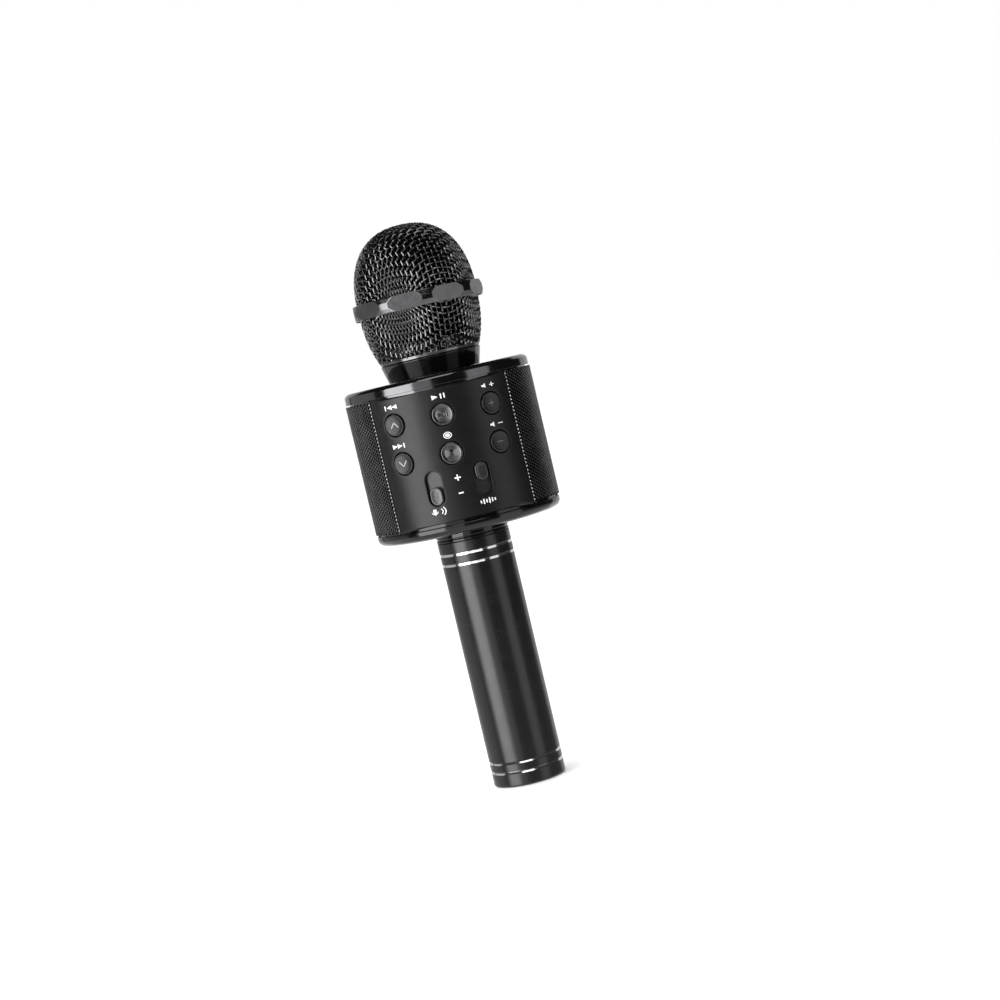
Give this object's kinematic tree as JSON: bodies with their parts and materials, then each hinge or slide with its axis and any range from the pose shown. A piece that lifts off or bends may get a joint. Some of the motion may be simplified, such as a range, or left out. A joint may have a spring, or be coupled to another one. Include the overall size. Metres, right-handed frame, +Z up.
{
  "type": "karaoke microphone",
  "caption": "Handheld karaoke microphone: wire mesh head on a tapered neck, short drum with side loudspeakers and a control panel, slim tube handle that holds the battery.",
  "frame": {"origin": "centre of the tail cap's flat end, on the microphone's axis", "axes": "+Z up along the axis to the mesh head; -Y towards the control panel; +X to the panel's right"},
  "size_m": [0.082, 0.0824, 0.2475],
  "materials": {
    "wire_mesh": "satin",
    "ring_metal": "satin dark",
    "rim_metal": "satin",
    "foam": "matt open-cell foam",
    "rubber_boot": "matt",
    "capsule_metal": "satin",
    "lead_rubber": "satin",
    "gloss_black": "polished",
    "panel_black": "fine satin",
    "speaker_mesh": "fine mesh, satin",
    "inner_plastic": "moulded",
    "screw_steel": "blackened",
    "button_black": "satin",
    "slider_black": "satin",
    "switch_plastic": "moulded",
    "pot_metal": "plated",
    "board_green": "solder mask",
    "port_metal": "plated",
    "led_lens": "clear",
    "speaker_steel": "satin",
    "speaker_magnet": "matt",
    "speaker_paper": "pressed paper",
    "handle_black": "black anodised, bright cut rings",
    "battery_wrap": "shrink film",
    "contact_brass": "plated",
    "spring_steel": "plated"
  },
  "bodies": {
    "housing": {"capsule_mount": "rubber_boot", "mic_capsule": "capsule_metal", "capsule_lead": "lead_rubber", "neck_collar": "gloss_black", "top_trim": "gloss_black", "bottom_trim": "gloss_black", "handle_collar": "gloss_black", "front_panel": "panel_black", "rear_panel": "panel_black", "speaker_grille_left": "speaker_mesh", "speaker_grille_right": "speaker_mesh", "drum_chassis": "inner_plastic", "neck_nut": "inner_plastic", "handle_nut": "inner_plastic", "battery_sleeve": "inner_plastic", "base_screw_1": "screw_steel", "base_screw_2": "screw_steel", "base_screw_3": "screw_steel", "base_screw_4": "screw_steel", "switch_previous": "switch_plastic", "switch_next": "switch_plastic", "switch_play": "switch_plastic", "switch_record": "switch_plastic", "switch_volume_up": "switch_plastic", "switch_volume_down": "switch_plastic", "pot_mic_volume": "pot_metal", "pot_remix": "pot_metal", "power_switch_body": "pot_metal", "control_board": "board_green", "rear_board": "board_green", "usb_port": "port_metal", "card_socket": "port_metal", "headphone_jack": "port_metal", "status_led": "led_lens", "speaker_frame_left": "speaker_steel", "speaker_frame_right": "speaker_steel", "speaker_magnet_left": "speaker_magnet", "speaker_magnet_right": "speaker_magnet", "handle_tube": "handle_black", "contact_plate": "contact_brass"},
    "foam": {"foam_liner": "foam"},
    "head_grille": {"grille_dome": "wire_mesh", "grille_basket": "wire_mesh", "anti_roll_ring": "ring_metal", "grille_rim": "rim_metal"},
    "battery": {"battery": "battery_wrap"},
    "tail_cap": {"tail_cap": "handle_black", "tail_spring": "spring_steel"},
    "slider_mic_volume": {"slider_mic_volume": "slider_black"},
    "slider_remix": {"slider_remix": "slider_black"},
    "power_switch": {"power_switch_knob": "slider_black"},
    "cone_left": {"speaker_cone_left": "speaker_paper"},
    "cone_right": {"speaker_cone_right": "speaker_paper"},
    "button_previous": {"button_previous": "button_black"},
    "button_next": {"button_next": "button_black"},
    "button_play": {"button_play": "button_black"},
    "button_record": {"button_record": "button_black"},
    "button_volume_up": {"button_volume_up": "button_black"},
    "button_volume_down": {"button_volume_down": "button_black"}
  },
  "joints": [
    {"name": "head_lift", "type": "slide", "parent": "housing", "child": "foam", "axis": [0, 0, 1], "range_m": [0, 0.0045]},
    {"name": "head_unscrew", "type": "hinge", "parent": "foam", "child": "head_grille", "pos_m": [0, 0, 0.19], "axis": [0, 0, 1], "range_deg": [0, 1080]},
    {"name": "battery_slide", "type": "slide", "parent": "housing", "child": "battery", "axis": [0, 0, -1], "range_m": [0, 0.0045]},
    {"name": "tail_cap_unscrew", "type": "hinge", "parent": "battery", "child": "tail_cap", "pos_m": [0, 0, 0], "axis": [0, 0, -1], "range_deg": [0, 1080]},
    {"name": "press_previous", "type": "slide", "parent": "housing", "child": "button_previous", "axis": [0.509, 0.8607, 0], "range_m": [0, 0.0005], "stiffness_N_per_m": 1500},
    {"name": "press_next", "type": "slide", "parent": "housing", "child": "button_next", "axis": [0.509, 0.8607, 0], "range_m": [0, 0.0005], "stiffness_N_per_m": 1500},
    {"name": "press_play", "type": "slide", "parent": "housing", "child": "button_play", "axis": [0, 1, 0], "range_m": [0, 0.0005], "stiffness_N_per_m": 1500},
    {"name": "press_record", "type": "slide", "parent": "housing", "child": "button_record", "axis": [0, 1, 0], "range_m": [0, 0.0005], "stiffness_N_per_m": 1500},
    {"name": "press_volume_up", "type": "slide", "parent": "housing", "child": "button_volume_up", "axis": [-0.509, 0.8607, 0], "range_m": [0, 0.0005], "stiffness_N_per_m": 1500},
    {"name": "press_volume_down", "type": "slide", "parent": "housing", "child": "button_volume_down", "axis": [-0.509, 0.8607, 0], "range_m": [0, 0.0005], "stiffness_N_per_m": 1500},
    {"name": "mic_volume_slide", "type": "slide", "parent": "housing", "child": "slider_mic_volume", "axis": [0, 0, 1], "range_m": [0, 0.0064]},
    {"name": "remix_slide", "type": "slide", "parent": "housing", "child": "slider_remix", "axis": [0, 0, 1], "range_m": [-0.0064, 0]},
    {"name": "power_slide", "type": "slide", "parent": "housing", "child": "power_switch", "axis": [0, 0, 1], "range_m": [0, 0.003]},
    {"name": "cone_left_travel", "type": "slide", "parent": "housing", "child": "cone_left", "axis": [-1, 0, 0], "range_m": [-0.001, 0.001], "stiffness_N_per_m": 1500},
    {"name": "cone_right_travel", "type": "slide", "parent": "housing", "child": "cone_right", "axis": [1, 0, 0], "range_m": [-0.001, 0.001], "stiffness_N_per_m": 1500}
  ],
  "couplings": [
    {"joint": "head_unscrew", "follows": "head_lift", "rad_per_m": 4188.8},
    {"joint": "tail_cap_unscrew", "follows": "battery_slide", "rad_per_m": 4188.8}
  ]
}
